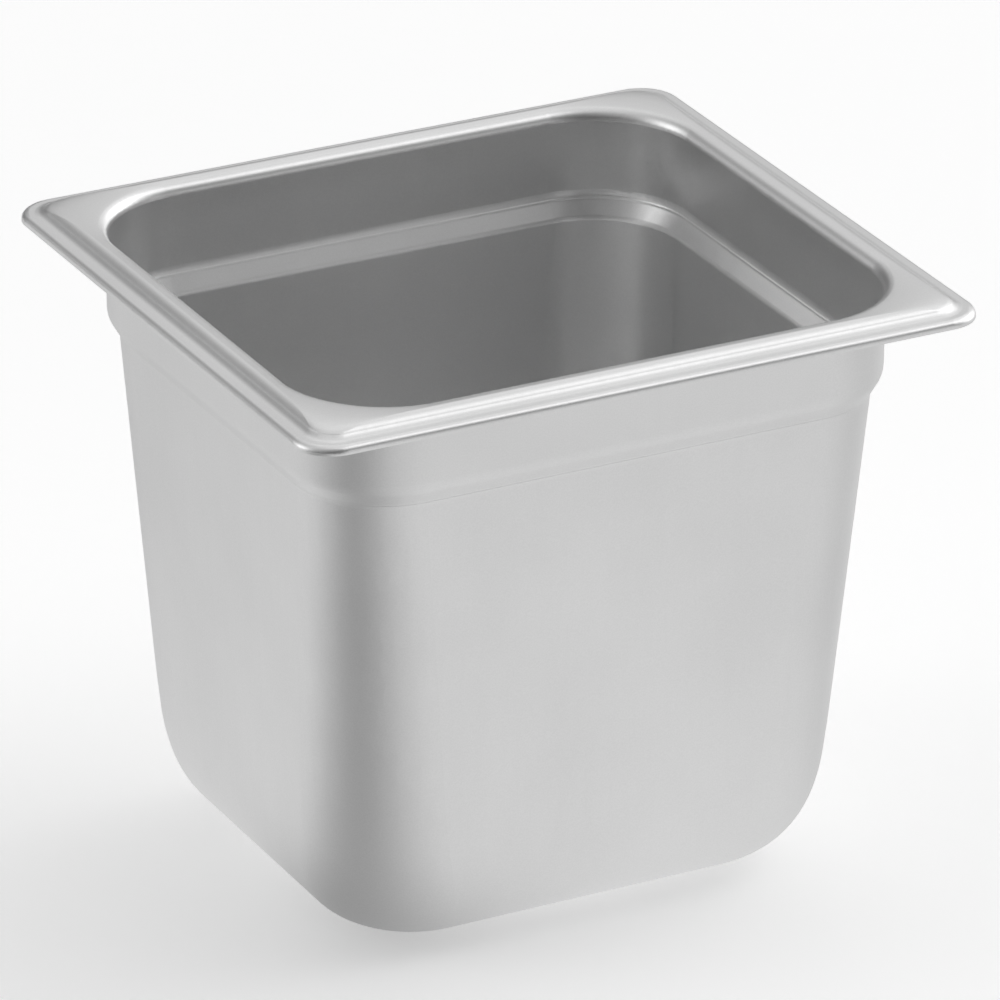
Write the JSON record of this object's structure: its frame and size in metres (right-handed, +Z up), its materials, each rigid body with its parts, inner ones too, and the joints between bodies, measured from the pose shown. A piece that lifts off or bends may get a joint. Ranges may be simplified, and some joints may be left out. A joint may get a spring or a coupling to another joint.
{
  "type": "food pan",
  "caption": "Deep stainless steel food pan with a flanged rim, a raised land round its mouth, a stacking shoulder and tapered walls.",
  "frame": {"origin": "centre of the underside of the floor", "axes": "+Z up, out of the pan's mouth; +X along the long side of the rim; +Y along the short side"},
  "size_m": [0.176, 0.162, 0.1516],
  "materials": {
    "stainless": "satin"
  },
  "bodies": {
    "root": {"pan": "stainless"}
  },
  "joints": []
}
